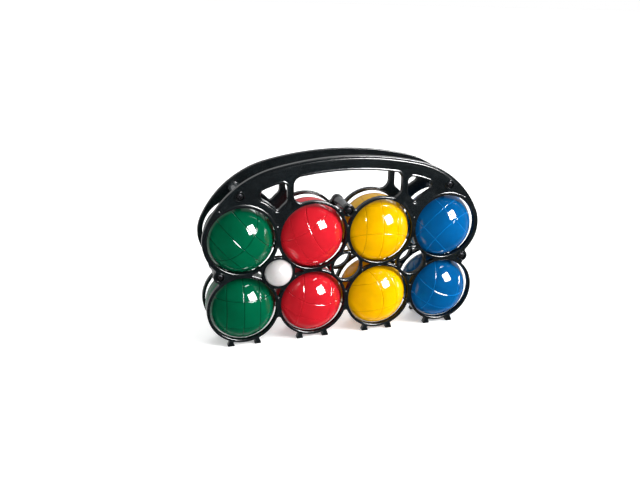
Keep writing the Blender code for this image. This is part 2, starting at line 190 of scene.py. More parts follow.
FLOOR_FADE = (1.0, 4.5)
FLOOR_REACH = 60.0

# Camera: lens and sensor width in millimetres, shift as a share of the image's width, place, and
# turns in degrees.
LENS = 38.13
SENSOR_WIDTH = 36.0
SHIFT = (-0.0281, 0.0094)
CAMERA_PLACE = Vector((-2.894, -8.850, 4.633)) * PITCH
YAW = 17.8
TILT_DOWN = 19.87
CAMERA_ROLL = 1.52


def link(obj):
    bpy.context.scene.collection.objects.link(obj)


def fit(obj, node):
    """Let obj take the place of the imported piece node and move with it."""
    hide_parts(node)
    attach(obj, node)


# ---------------------------------------------------------------- materials

class Nodes:
    """Short calls for a material's node tree."""

    def __init__(self, name):
        self.material = bpy.data.materials.new(name)
        self.material.use_nodes = True
        self.tree = self.material.node_tree
        self.shader = self.tree.nodes["Principled BSDF"]

    def add(self, kind, inputs=None, **settings):
        node = self.tree.nodes.new("ShaderNode" + kind)
        for key, value in settings.items():
            setattr(node, key, value)
        for key, value in (inputs or {}).items():
            if isinstance(value, bpy.types.NodeSocket):
                self.tree.links.new(value, node.inputs[key])
            else:
                node.inputs[key].default_value = value
        return node

    def noise(self, scale, detail=3.0, roughness=0.55):
        place = self.add("TexCoord").outputs["Object"]
        settings = {"Vector": place, "Scale": scale, "Detail": detail, "Roughness": roughness}
        return self.add("TexNoise", settings).outputs["Fac"]

    def spread(self, value, low, high, start=0.35, end=0.65):
        """value's range from start to end, mapped to low to high."""
        settings = {"Value": value, "From Min": start, "From Max": end,
                    "To Min": low, "To Max": high}
        return self.add("MapRange", settings).outputs["Result"]

    def mix(self, factor, first, second):
        settings = {0: factor, 6: first, 7: second}
        return self.add("Mix", settings, data_type="RGBA").outputs[2]

    def bump(self, height, distance, below=None):
        settings = {"Height": height, "Distance": distance, "Strength": 1.0}
        if below is not None:
            settings["Normal"] = below
        return self.add("Bump", settings).outputs["Normal"]

    def finish(self, **inputs):
        for key, value in inputs.items():
            socket = self.shader.inputs[key.replace("_", " ")]
            if isinstance(value, bpy.types.NodeSocket):
                self.tree.links.new(value, socket)
            else:
                socket.default_value = value
        return self.material


def frame_plastic():
    """Black moulded plastic: satin skin, rubbed edges, and glossier posts with a painted sheen."""
    nodes = Nodes("frame_plastic")
    # Random near-black tones; their blue cast paints in the bluish sheen that the faces reflect.
    skin = nodes.mix(nodes.spread(nodes.noise(60.0), 0.0, 1.0),
                     (0.003, 0.005, 0.006, 1.0), (0.005, 0.008, 0.0095, 1.0))
    edge = nodes.add("NewGeometry").outputs["Pointiness"]
    rubbed = nodes.spread(edge, 0.0, 0.5, 0.52, 0.62)
    place = nodes.add("TexCoord").outputs["Object"]
    across = nodes.add("SeparateXYZ", {0: place}).outputs["Y"]
    depth = nodes.add("Math", {0: across}, operation="ABSOLUTE").outputs[0]
    inner = DEPTH / 2.0 - PLATE
    post = nodes.spread(depth, 1.0, 0.0, inner - 0.0008, inner - 0.0003)
    worn = nodes.mix(rubbed, skin, (0.016, 0.018, 0.020, 1.0))
    # Painted sheen: the posts get a paler grey base for the bright surroundings their gloss
    # mirrors.
    colour = nodes.mix(post, worn, (0.045, 0.053, 0.058, 1.0))
    satin = nodes.spread(nodes.noise(220.0), 0.18, 0.24)
    roughness = nodes.add("Mix", {0: post, 2: satin, 3: 0.12}).outputs[0]
    gloss = nodes.spread(post, 0.5, 1.0, 0.0, 1.0)
    grain = nodes.bump(nodes.noise(1400.0, 2.0), 0.0000008)
    flow = nodes.bump(nodes.noise(45.0, 1.0), 0.000012, grain)
    return nodes.finish(Base_Color=colour, Roughness=roughness, Specular_IOR_Level=gloss,
                        Normal=flow)


def ball_plastic(name, colour, groove_painted_light):
    """Glossy coloured plastic with faint swirls, a thin orange peel and small scuffs."""
    nodes = Nodes(name)
    deep = (*(0.80 * part for part in colour), 1.0)
    swirl = nodes.spread(nodes.noise(28.0, 4.0), 0.0, 1.0)
    body = nodes.mix(swirl, deep, (*colour, 1.0))
    # Grooves get painted light: shade darkens them, and on blue a painted reflection pales them.
    inside = nodes.add("Attribute", attribute_name="groove").outputs["Fac"]
    tint = nodes.mix(inside, body, (*(groove_painted_light * part for part in colour), 1.0))
    scuff = nodes.spread(nodes.noise(420.0, 6.0, 0.7), 0.0, 0.10, 0.60, 0.72)
    gloss = nodes.spread(nodes.noise(90.0), 0.03, 0.06)
    roughness = nodes.add("Math", {0: gloss, 1: scuff}, operation="ADD").outputs[0]
    peel = nodes.bump(nodes.noise(260.0, 2.0), 0.0000006)
    return nodes.finish(Base_Color=tint, Roughness=roughness, Normal=peel)


def jack_plastic():
    """White plastic, a little softer in its gloss than the balls, with faint grey marks."""
    nodes = Nodes("jack_white")
    marks = nodes.spread(nodes.noise(120.0, 5.0, 0.7), 0.0, 1.0, 0.52, 0.75)
    colour = nodes.mix(marks, (0.58, 0.56, 0.56, 1.0), (0.49, 0.47, 0.46, 1.0))
    roughness = nodes.spread(nodes.noise(200.0), 0.32, 0.42)
    peel = nodes.bump(nodes.noise(500.0, 2.0), 0.00002)
    return nodes.finish(Base_Color=colour, Roughness=roughness, Normal=peel,
                        Subsurface_Weight=0.1, Subsurface_Scale=0.002)


def screw_steel():
    """Blackened steel with turning marks and paler wear."""
    nodes = Nodes("screw_steel")
    worn = nodes.spread(nodes.noise(900.0, 4.0), 0.0, 1.0, 0.5, 0.7)
    colour = nodes.mix(worn, (0.018, 0.018, 0.020, 1.0), (0.07, 0.07, 0.075, 1.0))
    roughness = nodes.spread(nodes.noise(1500.0), 0.35, 0.5)
    marks = nodes.bump(nodes.noise(2500.0), 0.00001)
    return nodes.finish(Base_Color=colour, Roughness=roughness, Normal=marks, Metallic=1.0)


def stage_material(name, colour, roughness):
    nodes = Nodes(name)
    tone = nodes.mix(nodes.spread(nodes.noise(3.0), 0.0, 1.0),
                     (*(0.99 * part for part in colour), 1.0), (*colour, 1.0))
    place = nodes.add("TexCoord").outputs["Object"]
    distance = nodes.add("VectorMath", {0: place}, operation="LENGTH").outputs["Value"]
    seen = nodes.add("LightPath").outputs["Is Camera Ray"]
    near = nodes.add("Mix", {0: seen, 2: FLOOR_GLOW, 3: FLOOR_LIFT}).outputs[0]
    far = nodes.spread(distance, 0.0, 1.0, *FLOOR_FADE)
    glow = nodes.add("Math", {0: near, 1: far}, operation="MAXIMUM").outputs[0]
    return nodes.finish(Base_Color=tone, Roughness=roughness, Emission_Color=(1.0, 1.0, 1.0, 1.0),
                        Emission_Strength=glow)


# ---------------------------------------------------------------- flat outlines

class Edge:
    """A stretch of outline along a circle, with the outlined area inside or outside it."""

    def __init__(self, x, z, radius, inside=True):
        self.centre = Vector((x, z))
        self.radius = radius
        self.side = 1 if inside else -1

    def mirrored(self):
        return Edge(-self.centre.x, self.centre.y, self.radius, self.side > 0)


def straight(start, end):
    """A nearly straight edge through start and end, with the area on its left."""
    start, end = Vector(start), Vector(end)
    along = (end - start).normalized()
    middle = (start + end) / 2.0 + Vector((-along.y, along.x)) * LINE_RADIUS
    return Edge(middle.x, middle.y, LINE_RADIUS)


def upright(x, downwards):
    """A straight edge at x, with the area on its left as it runs down or up."""
    ends = [(x, UPPER_ROW), (x, ARCH_TOP)]
    return straight(*(reversed(ends) if downwards else ends))


def circle_crossing(first, first_radius, second, second_radius, hint):
    """The crossing of two circles that lies nearest to hint; a touching pair gives its touch."""
    offset = second - first
    distance = offset.length
    along = (distance ** 2 + first_radius ** 2 - second_radius ** 2) / (2.0 * distance)
    across = math.sqrt(max(first_radius ** 2 - along ** 2, 0.0))
    direction = offset / distance
    normal = Vector((-direction.y, direction.x))
    middle = first + direction * along
    crossings = (middle + normal * across, middle - normal * across)
    return min(crossings, key=lambda point: (point - hint).length)


class Loop:
    """Closed line of points with unit normals that point out of the material."""

    def __init__(self, points, normals):
        self.points = np.array(points, dtype=float).reshape(-1, 2)
        self.normals = np.array(normals, dtype=float).reshape(-1, 2)

    def inset(self, distance):
        """Points moved into the material."""
        return self.points - distance * self.normals

    def hole(self):
        """The same line as the edge of a hole."""
        return Loop(self.points, -self.normals)

    def mirrored(self):
        flip = np.array((-1.0, 1.0))
        return Loop(self.points[::-1] * flip, self.normals[::-1] * flip)


def arc(centre_point, radius, start, end, turn, outwards):
    """Points and normals from start to just before end, with turn +1 anticlockwise."""
    first = math.atan2(start.y - centre_point.y, start.x - centre_point.x)
    last = math.atan2(end.y - centre_point.y, end.x - centre_point.x)
    sweep = (last - first) * turn
    if sweep < -1e-5:
        sweep += 2.0 * math.pi
    largest = min(2.0 * math.acos(1.0 - min(ARC_TOLERANCE / radius, 0.25)), 0.003 / radius + 0.02)
    count = max(1, math.ceil(sweep / largest))
    points = []
    normals = []
    for step in range(count):
        angle = first + turn * sweep * step / count
        ray = Vector((math.cos(angle), math.sin(angle)))
        points.append(centre_point + radius * ray)
        normals.append(outwards * ray)
    return points, normals


def outline(edges, corners):
    """Closed Loop, anticlockwise, through edges; corners[i] is (fillet, hint) after edges[i].

    A positive fillet rounds a corner of the area, a negative one fills a notch in it, and zero
    joins two edges where they touch.
    """
    centres = []
    for index, (fillet, hint) in enumerate(corners):
        one = edges[index]
        two = edges[(index + 1) % len(edges)]
        reach_one = one.radius - one.side * fillet
        reach_two = two.radius - two.side * fillet
        centres.append(circle_crossing(one.centre, reach_one, two.centre, reach_two, Vector(hint)))

    def touch(edge, index):
        if corners[index][0] == 0.0:
            return centres[index]
        return edge.centre + (centres[index] - edge.centre).normalized() * edge.radius

    points = []
    normals = []
    for index, edge in enumerate(edges):
        stretches = [(edge.centre, edge.radius, touch(edge, index - 1), touch(edge, index),
                      edge.side, edge.side)]
        fillet = corners[index][0]
        if fillet != 0.0:
            following = touch(edges[(index + 1) % len(edges)], index)
            turn = 1 if fillet > 0.0 else -1
            stretches.append((centres[index], abs(fillet), touch(edge, index), following,
                              turn, turn))
        for stretch in stretches:
            new_points, new_normals = arc(*stretch)
            points += new_points
            normals += new_normals
    return Loop(points, normals)


def circle(x, z, radius, count=None):
    if count is None:
        count = 4 * math.ceil(math.pi / (4.0 * math.acos(1.0 - ARC_TOLERANCE / radius)))
    angles = [2.0 * math.pi * step / count for step in range(count)]
    rays = np.array([(math.cos(angle), math.sin(angle)) for angle in angles])
    return Loop(np.array((x, z)) + radius * rays, rays)


# ---------------------------------------------------------------- the frame's outlines

def ring(column, row, inside=True, radius=RING_RADIUS):
    return Edge(COLUMNS[column], row, radius, inside)


def arch(inset, inside=True):
    return Edge(0.0, ARCH_TOP - ARCH_RADIUS, ARCH_RADIUS - inset, inside)


def right_shoulder(inset):
    """Arc that touches the arch from within and runs on round the upper right ring."""
    top = arch(0.0)
    end_ring = ring(3, UPPER_ROW, True, END_RING_RADIUS)
    middle = circle_crossing(
        top.centre, ARCH_RADIUS - SHOULDER_RADIUS,
        end_ring.centre, SHOULDER_RADIUS - END_RING_RADIUS, Vector((PITCH, PITCH)))
    return Edge(middle.x, middle.y, SHOULDER_RADIUS - inset)


def end_boss(side):
    x, z = POSTS["right_end"]
    return Edge(side * x, z, BOSS_RADIUS)


def lower_ring_edges(column):
    """Outside of a lower ring, from its left side under its two feet to its right side."""
    below = LOWER_ROW - RING_RADIUS
    edges = [ring(column, LOWER_ROW)]
    corners = []
    for offset in (-FOOT_OFFSET, FOOT_OFFSET):
        x = COLUMNS[column] + offset
        left_sole = (x - FOOT_SOLE / 2.0, 0.0)
        right_sole = (x + FOOT_SOLE / 2.0, 0.0)
        edges += [straight((x - FOOT_NECK / 2.0, below), left_sole),
                  straight(left_sole, right_sole),
                  straight(right_sole, (x + FOOT_NECK / 2.0, below)),
                  ring(column, LOWER_ROW)]
        corners += [(-0.0009, (x - FOOT_NECK, below)), (0.0009, left_sole),
                    (0.0009, right_sole), (-0.0009, (x + FOOT_NECK, below))]
    return edges, corners


def frame_outline():
    shoulder = right_shoulder(0.0)
    beyond = 2.2 * PITCH
    above_boss = JACK_ROW + 0.3 * PITCH
    below_boss = JACK_ROW - 0.3 * PITCH
    web = -0.0025
    end_rings = [ring(column, UPPER_ROW, True, END_RING_RADIUS) for column in (0, 3)]
    edges = [shoulder, arch(0.0), shoulder.mirrored(), end_rings[0], end_boss(-1)]
    corners = [(0.0, (PITCH, ARCH_TOP)), (0.0, (-PITCH, ARCH_TOP)), (0.0, (-beyond, UPPER_ROW)),
               (web, (-beyond, above_boss)), (web, (-beyond, below_boss))]
    for column in range(len(COLUMNS)):
        ring_edges, ring_corners = lower_ring_edges(column)
        edges += ring_edges
        corners += ring_corners
        if column < len(JACK_COLUMNS):
            corners.append((web, (JACK_COLUMNS[column], -PITCH)))
    edges += [end_boss(1), end_rings[1]]
    corners += [(web, (beyond, below_boss)), (web, (beyond, above_boss)),
                (0.0, (beyond, UPPER_ROW))]
    return outline(edges, corners)


def slot_outline():
    """Hand slot: under the arch, above the two middle rings and the top boss."""
    x, z = POSTS["top"]
    left = upright(-SLOT_HALF_WIDTH, True)
    edges = [arch(BAND), left, ring(1, UPPER_ROW, False), Edge(x, z, BOSS_RADIUS, False),
             ring(2, UPPER_ROW, False), left.mirrored()]
    neck = 0.03 * PITCH
    corners = [(SLOT_CORNER, (-SLOT_HALF_WIDTH, ARCH_TOP)), (SLOT_CORNER, (-PITCH, z)),
               (neck, (x, ARCH_TOP)), (neck, (x, ARCH_TOP)),
               (SLOT_CORNER, (PITCH, z)), (SLOT_CORNER, (SLOT_HALF_WIDTH, ARCH_TOP))]
    return outline(edges, corners)


def window_outline(grown):
    """Three-sided window left of the slot, grown outwards all round."""
    top = right_shoulder(WINDOW_BAND - grown).mirrored()
    keep = WINDOW_CLEARANCE - grown
    side = upright(grown - WINDOW_SIDE, False)
    edges = [top, ring(0, UPPER_ROW, False, keep), ring(1, UPPER_ROW, False, keep), side]
    level = UPPER_ROW + 0.5 * PITCH
    corners = [(0.075 * PITCH + grown, (-1.3 * PITCH, level)),
               (0.03 * PITCH + grown, (-PITCH, level)),
               (0.08 * PITCH + grown, (-WINDOW_SIDE, level)),
               (0.07 * PITCH + grown, (-WINDOW_SIDE, ARCH_TOP))]
    return outline(edges, corners)


def gap_outlines():
    """Small three-sided gaps round each jack ring and under the top boss."""
    fillet = 0.0007
    gaps = []
    for index, x in enumerate(JACK_COLUMNS):
        jack = Edge(x, JACK_ROW, JACK_RING_RADIUS, False)
        upper = [ring(column, UPPER_ROW, False) for column in (index, index + 1)]
        lower = [ring(column, LOWER_ROW, False) for column in (index, index + 1)]
        reach = 0.3 * PITCH
        gaps += [
            ([upper[0], lower[0], jack], (x - reach, JACK_ROW)),
            ([upper[1], jack, lower[1]], (x + reach, JACK_ROW)),
            ([upper[0], jack, upper[1]], (x, JACK_ROW + reach)),
            ([jack, lower[0], lower[1]], (x, JACK_ROW - reach)),
        ]
    x, z = POSTS["top"]
    boss = Edge(x, z, BOSS_RADIUS, False)
    middle_rings = [ring(1, UPPER_ROW, False), ring(2, UPPER_ROW, False)]
    gaps.append(([boss] + middle_rings, (x, z - 0.12 * PITCH)))
    return [outline(edges, [(fillet, hint)] * 3) for edges, hint in gaps]


def groove_loops():
    """Outer sides of the groove: one line round the web and one round each window."""
    lip_radius = RING_RADIUS
    shoulder = right_shoulder(LIP)
    side = upright(-SLOT_HALF_WIDTH - LIP, False)
    slot_top = arch(BAND - LIP, False)
    corner_x = SLOT_HALF_WIDTH - SLOT_CORNER
    reach = ARCH_RADIUS - BAND - SLOT_CORNER
    corner_z = slot_top.centre.y + math.sqrt(reach ** 2 - corner_x ** 2)
    corner = Edge(-corner_x, corner_z, SLOT_CORNER + LIP, False)
    small = GROOVE + 0.0009
    lips = [ring(column, UPPER_ROW, False, lip_radius) for column in range(len(COLUMNS))]
    edges = [shoulder, arch(LIP), shoulder.mirrored(), lips[0], lips[1], side, corner,
             slot_top, corner.mirrored(), side.mirrored(), lips[2], lips[3]]
    level = UPPER_ROW + 0.5 * PITCH
    left = [(0.0, (-PITCH, ARCH_TOP)), (small, (-2.0 * PITCH, level)), (small, (-PITCH, level)),
            (small, (-SLOT_HALF_WIDTH, level)), (0.0, (-SLOT_HALF_WIDTH, corner_z)),
            (0.0, (-corner_x, ARCH_TOP))]
    right = [(radius, (-x, z)) for radius, (x, z) in reversed(left)]
    corners = [right[-1]] + left + right[:-1]
    window = window_outline(LIP).hole()
    return [outline(edges, corners), window, window.mirrored()]


# ---------------------------------------------------------------- mesh work

def inside(points, places):
    """Which places lie inside a closed line, by their crossings of a level line."""
    before = np.roll(points, 1, axis=0)
    result = np.zeros(len(places), dtype=bool)
    rising = before[:, 1] - points[:, 1]
    rising[rising == 0.0] = 1e-30
    for start in range(0, len(places), 2000):
        x = places[start:start + 2000, 0][:, None]
        z = places[start:start + 2000, 1][:, None]
        spans = (points[:, 1] > z) != (before[:, 1] > z)
        along = (z - points[:, 1]) / rising
        left = x < points[:, 0] + along * (before[:, 0] - points[:, 0])
        result[start:start + 2000] = np.count_nonzero(spans & left, axis=1) % 2 == 1
    return result


def fill(bm, lines, keep, y):
    """Flat triangles at y between closed lines, over the places that keep accepts."""
    places = []
    links = []
    for points in lines:
        first = len(places)
        places += [Vector(point) for point in points]
        links += [(first + i, first + (i + 1) % len(points)) for i in range(len(points))]
    found, _, faces = delaunay_2d_cdt(places, links, [], 1, 1e-8)[:3]
    flat = np.array([tuple(place) for place in found])
    middles = np.array([flat[list(face)].mean(axis=0) for face in faces])
    verts = [bm.verts.new((place[0], y, place[1])) for place in flat]
    for face, kept in zip(faces, keep(middles)):
        if kept:
            bm.faces.new([verts[i] for i in face])


def strips(bm, rows):
    """Bands of four-sided faces that join each closed row of vertices to the next."""
    for upper, lower in zip(rows, rows[1:]):
        for index, vert in enumerate(upper):
            after = (index + 1) % len(upper)
            bm.faces.new((vert, upper[after], lower[after], lower[index]))


def skirt(bm, loop, profile, level):
    """Strips along loop through profile's (inset, depth) places; level turns a depth into y."""
    rows = []
    for inset, depth in profile:
        y = level(depth)
        rows.append([bm.verts.new((point[0], y, point[1])) for point in loop.inset(inset)])
    strips(bm, rows)


def lathe(bm, x, z, profile, level):
    """Surface of revolution through (radius, depth) places about the axis through (x, z)."""
    unit = circle(x, z, 0.0, POST_STEPS)
    closing = profile[-1][0] == 0.0
    places = profile[:-1] if closing else profile
    rows = []
    for radius, depth in places:
        y = level(depth)
        rows.append([bm.verts.new((point[0], y, point[1])) for point in unit.inset(-radius)])
    strips(bm, rows)
    if closing:
        tip = bm.verts.new((x, level(profile[-1][1]), z))
        for index, vert in enumerate(rows[-1]):
            bm.faces.new((vert, rows[-1][(index + 1) % len(rows[-1])], tip))


def rounded(corner, before, after, radius, steps=4):
    """Places of a rounded profile corner between the places before and after it."""
    corner, before, after = Vector(corner), Vector(before), Vector(after)
    to_before = (before - corner).normalized()
    to_after = (after - corner).normalized()
    half = to_before.angle(to_after) / 2.0
    setback = radius / math.tan(half)
    middle = corner + (to_before + to_after).normalized() * (radius / math.sin(half))
    start = corner + to_before * setback - middle
    end = corner + to_after * setback - middle
    places = []
    for step in range(steps + 1):
        places.append(tuple(middle + radius * start.slerp(end, step / steps)))
    return places


def softened(places, radii):
    """A profile with each of its inner corners rounded by the radius given for it."""
    result = [places[0]]
    for index, radius in enumerate(radii, start=1):
        if radius > 0.0:
            result += rounded(places[index], places[index - 1], places[index + 1], radius)
        else:
            result.append(places[index])
    result.append(places[-1])
    return result


def finish_mesh(bm, name, material):
    """Welded, outward-facing, smooth mesh object whose flats stay flat in the light."""
    bmesh.ops.remove_doubles(bm, verts=bm.verts, dist=WELD)
    loose = [vert for vert in bm.verts if not vert.link_faces]
    bmesh.ops.delete(bm, geom=loose, context="VERTS")
    bmesh.ops.recalc_face_normals(bm, faces=bm.faces)
    mesh = bpy.data.meshes.new(name)
    bm.to_mesh(mesh)
    bm.free()
    mesh.shade_smooth()
    mesh.set_sharp_from_angle(angle=MOULDING_SHARP)
    mesh.materials.append(material)
    obj = bpy.data.objects.new(name, mesh)
    link(obj)
    weighted = obj.modifiers.new("Flat faces", "WEIGHTED_NORMAL")
    weighted.weight = 80
    weighted.keep_sharp = True
    return obj


# ---------------------------------------------------------------- frames

def boss_profile(side, base):
    """Outer half of a post: raised boss, cup and, in the front frame, the screw hole's mouth."""
    top = -BOSS_HEIGHT
    step = base - BOSS_BEVEL
    cup = HEAD_RADIUS + CUP_CLEARANCE
    cup_depth = CUP_DEPTH if side < 0 else BLANK_CUP_DEPTH
    floor = top + cup_depth
    middle = 0.0 if side > 0 else SCREW_HOLE_RADIUS
    places = [(base, 0.0), (step, top), (cup, top), (cup, floor), (middle, floor)]
    return softened(places, (0.0002, 0.0001, 0.0003))


def post_profile(side):
    """Inner half of a post, from its foot on the plate to the middle of its end."""
    tip = DEPTH / 2.0 - GAP / 2.0
    foot = [(POST_RADIUS + POST_FLARE, PLATE), (POST_RADIUS, PLATE + POST_FLARE)]
    if side < 0:
        spigot_tip = tip + SPIGOT_LENGTH
        places = foot + [(POST_RADIUS, tip), (SPIGOT_RADIUS, tip), (SPIGOT_RADIUS, spigot_tip),
                         (SCREW_HOLE_RADIUS, spigot_tip)]
        return softened(places, (0.0, 0.0004, 0.0002, 0.0005))
    socket = SPIGOT_RADIUS + GAP
    floor = tip - SPIGOT_LENGTH - GAP
    bottom = DEPTH / 2.0 - SHANK_END - GAP
    places = foot + [(POST_RADIUS, tip), (socket, tip), (socket, floor),
                     (SCREW_HOLE_RADIUS, floor), (SCREW_HOLE_RADIUS, bottom), (0.0, bottom)]
    return softened(places, (0.0, 0.0004, 0.0004, 0.0, 0.0, 0.0))


def make_frame(name, side, material):
    """One moulded frame: side is -1 for the front and +1 for the back."""
    bm = bmesh.new()

    def level(depth):
        return side * (DEPTH / 2.0 - depth)

    body = frame_outline()
    window = window_outline(0.0)
    holes = [slot_outline(), window, window.mirrored()] + gap_outlines()
    holes += [circle(x, z, BORE_RADIUS) for x in COLUMNS for z in (LOWER_ROW, UPPER_ROW)]
    holes += [circle(x, JACK_ROW, JACK_BORE_RADIUS) for x in JACK_COLUMNS]
    hard = [body] + [hole.hole() for hole in holes]
    outer_edge = (0.0, 0.0)
    inner_edge = (0.0, PLATE)
    wall = rounded(outer_edge, (1.0, 0.0), inner_edge, EDGE_ROUND, 5) \
        + rounded(inner_edge, outer_edge, (1.0, PLATE), INNER_ROUND, 3)
    for loop in hard:
        skirt(bm, loop, wall, level)

    grooves = groove_loops()
    middle = GROOVE / 2.0
    dip = softened([(0.0, 0.0), (middle, GROOVE_DEPTH), (GROOVE, 0.0)], (0.0003,))
    for loop in grooves:
        skirt(bm, loop, dip, level)

    boss = BOSS_RADIUS - EDGE_ROUND - BOSS_SETBACK
    for x, z in POSTS.values():
        outer = boss_profile(side, boss)
        inner = post_profile(side)
        if side < 0:
            lathe(bm, x, z, outer + inner[::-1], level)
        else:
            lathe(bm, x, z, outer, level)
            lathe(bm, x, z, inner, level)

    front_body = body.inset(EDGE_ROUND)
    front_holes = [hole.inset(-EDGE_ROUND) for hole in holes]
    lips = [loop.inset(0.0) for loop in grooves]
    web = [loop.inset(GROOVE) for loop in grooves]
    boss_lines = [circle(x, z, boss, POST_STEPS).points for x, z in POSTS.values()]

    def within(lines, places):
        return inside(lines[0], places) & ~inside(lines[1], places) & ~inside(lines[2], places)

    def on_face(places):
        kept = inside(front_body, places) & (~within(lips, places) | within(web, places))
        for line in front_holes + boss_lines:
            kept &= ~inside(line, places)
        return kept

    fill(bm, [front_body] + front_holes + lips + web + boss_lines, on_face, level(0.0))

    back_body = body.inset(INNER_ROUND)
    back_holes = [hole.inset(-INNER_ROUND) for hole in holes]
    post_lines = [circle(x, z, POST_RADIUS + POST_FLARE, POST_STEPS).points
                  for x, z in POSTS.values()]

    def on_back(places):
        kept = inside(back_body, places)
        for line in back_holes + post_lines:
            kept &= ~inside(line, places)
        return kept

    fill(bm, [back_body] + back_holes + post_lines, on_back, level(PLATE))
    obj = finish_mesh(bm, name + "_moulding", material)
    fit(obj, name)


# ---------------------------------------------------------------- screws

def make_screws(material):
    """Pan-head screws with a cross recess and a cut thread."""
    seat = DEPTH / 2.0 + BOSS_HEIGHT - CUP_DEPTH + GAP
    top = seat + HEAD_HEIGHT
    head = softened([(0.0, top), (0.78 * HEAD_RADIUS, top), (HEAD_RADIUS, seat + 0.0006),
                     (HEAD_RADIUS, seat), (SHANK_RADIUS, seat)], (0.0012, 0.0004, 0.0002))
    bm = bmesh.new()
    length = seat + SHANK_END - 0.0004
    count = int(THREAD_ROWS * length / THREAD_PITCH)
    steps = SCREW_STEPS
    rows = [[(radius, height)] * steps for radius, height in head[1:]]
    for row in range(1, count + 1):
        height = seat - length * row / count
        places = []
        for step in range(steps):
            phase = (seat - height) / THREAD_PITCH - step / steps
            ridge = max(0.0, 1.0 - 2.6 * abs(phase - round(phase)))
            fade = min(1.0, 3.0 * (1.0 - row / count) + 0.25)
            places.append(((SHANK_RADIUS - THREAD_DEPTH * (1.0 - ridge)) * fade, height))
        rows.append(places)
    grid = []
    for places in rows:
        ring_verts = []
        for step, (radius, height) in enumerate(places):
            angle = 2.0 * math.pi * step / steps
            ring_verts.append(bm.verts.new((radius * math.cos(angle), radius * math.sin(angle),
                                            height)))
        grid.append(ring_verts)
    for upper, lower in zip(grid, grid[1:]):
        for step in range(steps):
            after = (step + 1) % steps
            bm.faces.new((upper[step], lower[step], lower[after], upper[after]))
    bm.faces.new(grid[0])
    bm.faces.new(grid[-1][::-1])
    bmesh.ops.recalc_face_normals(bm, faces=bm.faces)
    mesh = bpy.data.meshes.new("screw")
    bm.to_mesh(mesh)
    bm.free()
    drive = bmesh.new()
    for turn in (0.0, math.pi / 2.0):
        wide = bmesh.ops.create_cone(
            drive, cap_ends=True, segments=4, radius1=DRIVE_BOTTOM, radius2=DRIVE_TOP,
            depth=DRIVE_LENGTH,
            matrix=Matrix.Rotation(turn, 4, "Z") @ Matrix.Translation((0.0, 0.0, top - 0.0004)))
        squeeze = Matrix.Diagonal((1.0, DRIVE_SLIM, 1.0, 1.0)) if turn == 0.0 \
            else Matrix.Diagonal((DRIVE_SLIM, 1.0, 1.0, 1.0))
        bmesh.ops.transform(drive, matrix=squeeze, verts=wide["verts"])
    drive_mesh = bpy.data.meshes.new("drive")
    drive.to_mesh(drive_mesh)
    drive.free()
    cutter = bpy.data.objects.new("drive", drive_mesh)
    blank = bpy.data.objects.new("blank", mesh)
    for obj in (cutter, blank):
        link(obj)
    cut = blank.modifiers.new("Drive", "BOOLEAN")
    cut.object = cutter
    cut.use_self = True
    evaluated = blank.evaluated_get(bpy.context.evaluated_depsgraph_get())
    screw_mesh = bpy.data.meshes.new_from_object(evaluated)
    for obj in (cutter, blank):
        bpy.data.objects.remove(obj, do_unlink=True)
    screw_mesh.shade_smooth()
    screw_mesh.set_sharp_from_angle(angle=SCREW_SHARP)
    screw_mesh.materials.clear()
    screw_mesh.materials.append(material)
    for index, (post, (x, z)) in enumerate(POSTS.items()):
        obj = bpy.data.objects.new("screw_" + post + "_fine", screw_mesh)
        link(obj)
        turned = Matrix.Rotation(math.radians(25.0 + 67.0 * index), 4, "Z")
        obj.matrix_world = Matrix.Translation((x, 0.0, z)) \
            @ Matrix.Rotation(math.pi / 2.0, 4, "X") @ turned
        fit(obj, "screw_" + post)


# ---------------------------------------------------------------- balls

def grooved_ball(name, radius, grooves, half, depth, levels):
    """Sphere mesh with rounded grooves cut along circles, each (axis, share of the radius)."""
    bm = bmesh.new()
    bmesh.ops.create_icosphere(bm, subdivisions=levels, radius=radius)
    for axis, share in grooves:
        normal = Vector((0.0, 0.0, 0.0))
        normal[axis] = 1.0
        for step in range(-3, 4):
            place = normal * (share * radius + half * step / 3.0)
            bmesh.ops.bisect_plane(bm, geom=list(bm.verts) + list(bm.edges) + list(bm.faces),
                                   plane_co=place, plane_no=normal, dist=1e-7)
    bmesh.ops.triangulate(bm, faces=[face for face in bm.faces if len(face.verts) > 4])
    mesh = bpy.data.meshes.new(name)
    bm.to_mesh(mesh)
    bm.free()
    places = np.array([vert.co for vert in mesh.vertices])
    rays = places / np.linalg.norm(places, axis=1)[:, None]
    sunk = np.zeros(len(rays))
    normals = rays.copy()
    for axis, share in grooves:
        offset = places[:, axis] - share * radius
        near = np.abs(offset) < half
        dip = np.where(near, np.cos(0.5 * math.pi * offset / half) ** 2, 0.0)
        slope = np.where(near, -0.5 * math.pi / half * np.sin(math.pi * offset / half), 0.0)
        axis_ray = np.zeros(3)
        axis_ray[axis] = 1.0
        along = axis_ray - rays * rays[:, axis][:, None]
        deeper = dip > sunk
        normals[deeper] = (rays + depth * slope[:, None] * along)[deeper]
        sunk = np.maximum(sunk, dip)
    normals /= np.linalg.norm(normals, axis=1)[:, None]
    moved = rays * (radius - depth * sunk)[:, None]
    mesh.vertices.foreach_set("co", moved.astype(np.float32).ravel())
    shade = mesh.attributes.new("groove", "FLOAT", "POINT")
    shade.data.foreach_set("value", sunk.astype(np.float32))
    mesh.update()
    mesh.shade_smooth()
    mesh.normals_split_custom_set_from_vertices([tuple(normal) for normal in normals])
    return mesh


def rolled(rolls):
    """An arbitrary turn that leaves the crossed grooves, which face X, roughly to the front."""
    spin = Matrix.Rotation(rolls.uniform(-math.pi, math.pi), 4, "Y")
    lean = Matrix.Rotation(rolls.uniform(-ROLL_LEAN, ROLL_LEAN), 4, "X")
    sway = Matrix.Rotation(rolls.uniform(-ROLL_LEAN, ROLL_LEAN), 4, "Z")
    return lean @ sway @ spin @ Matrix.Rotation(-math.pi / 2.0, 4, "Z")


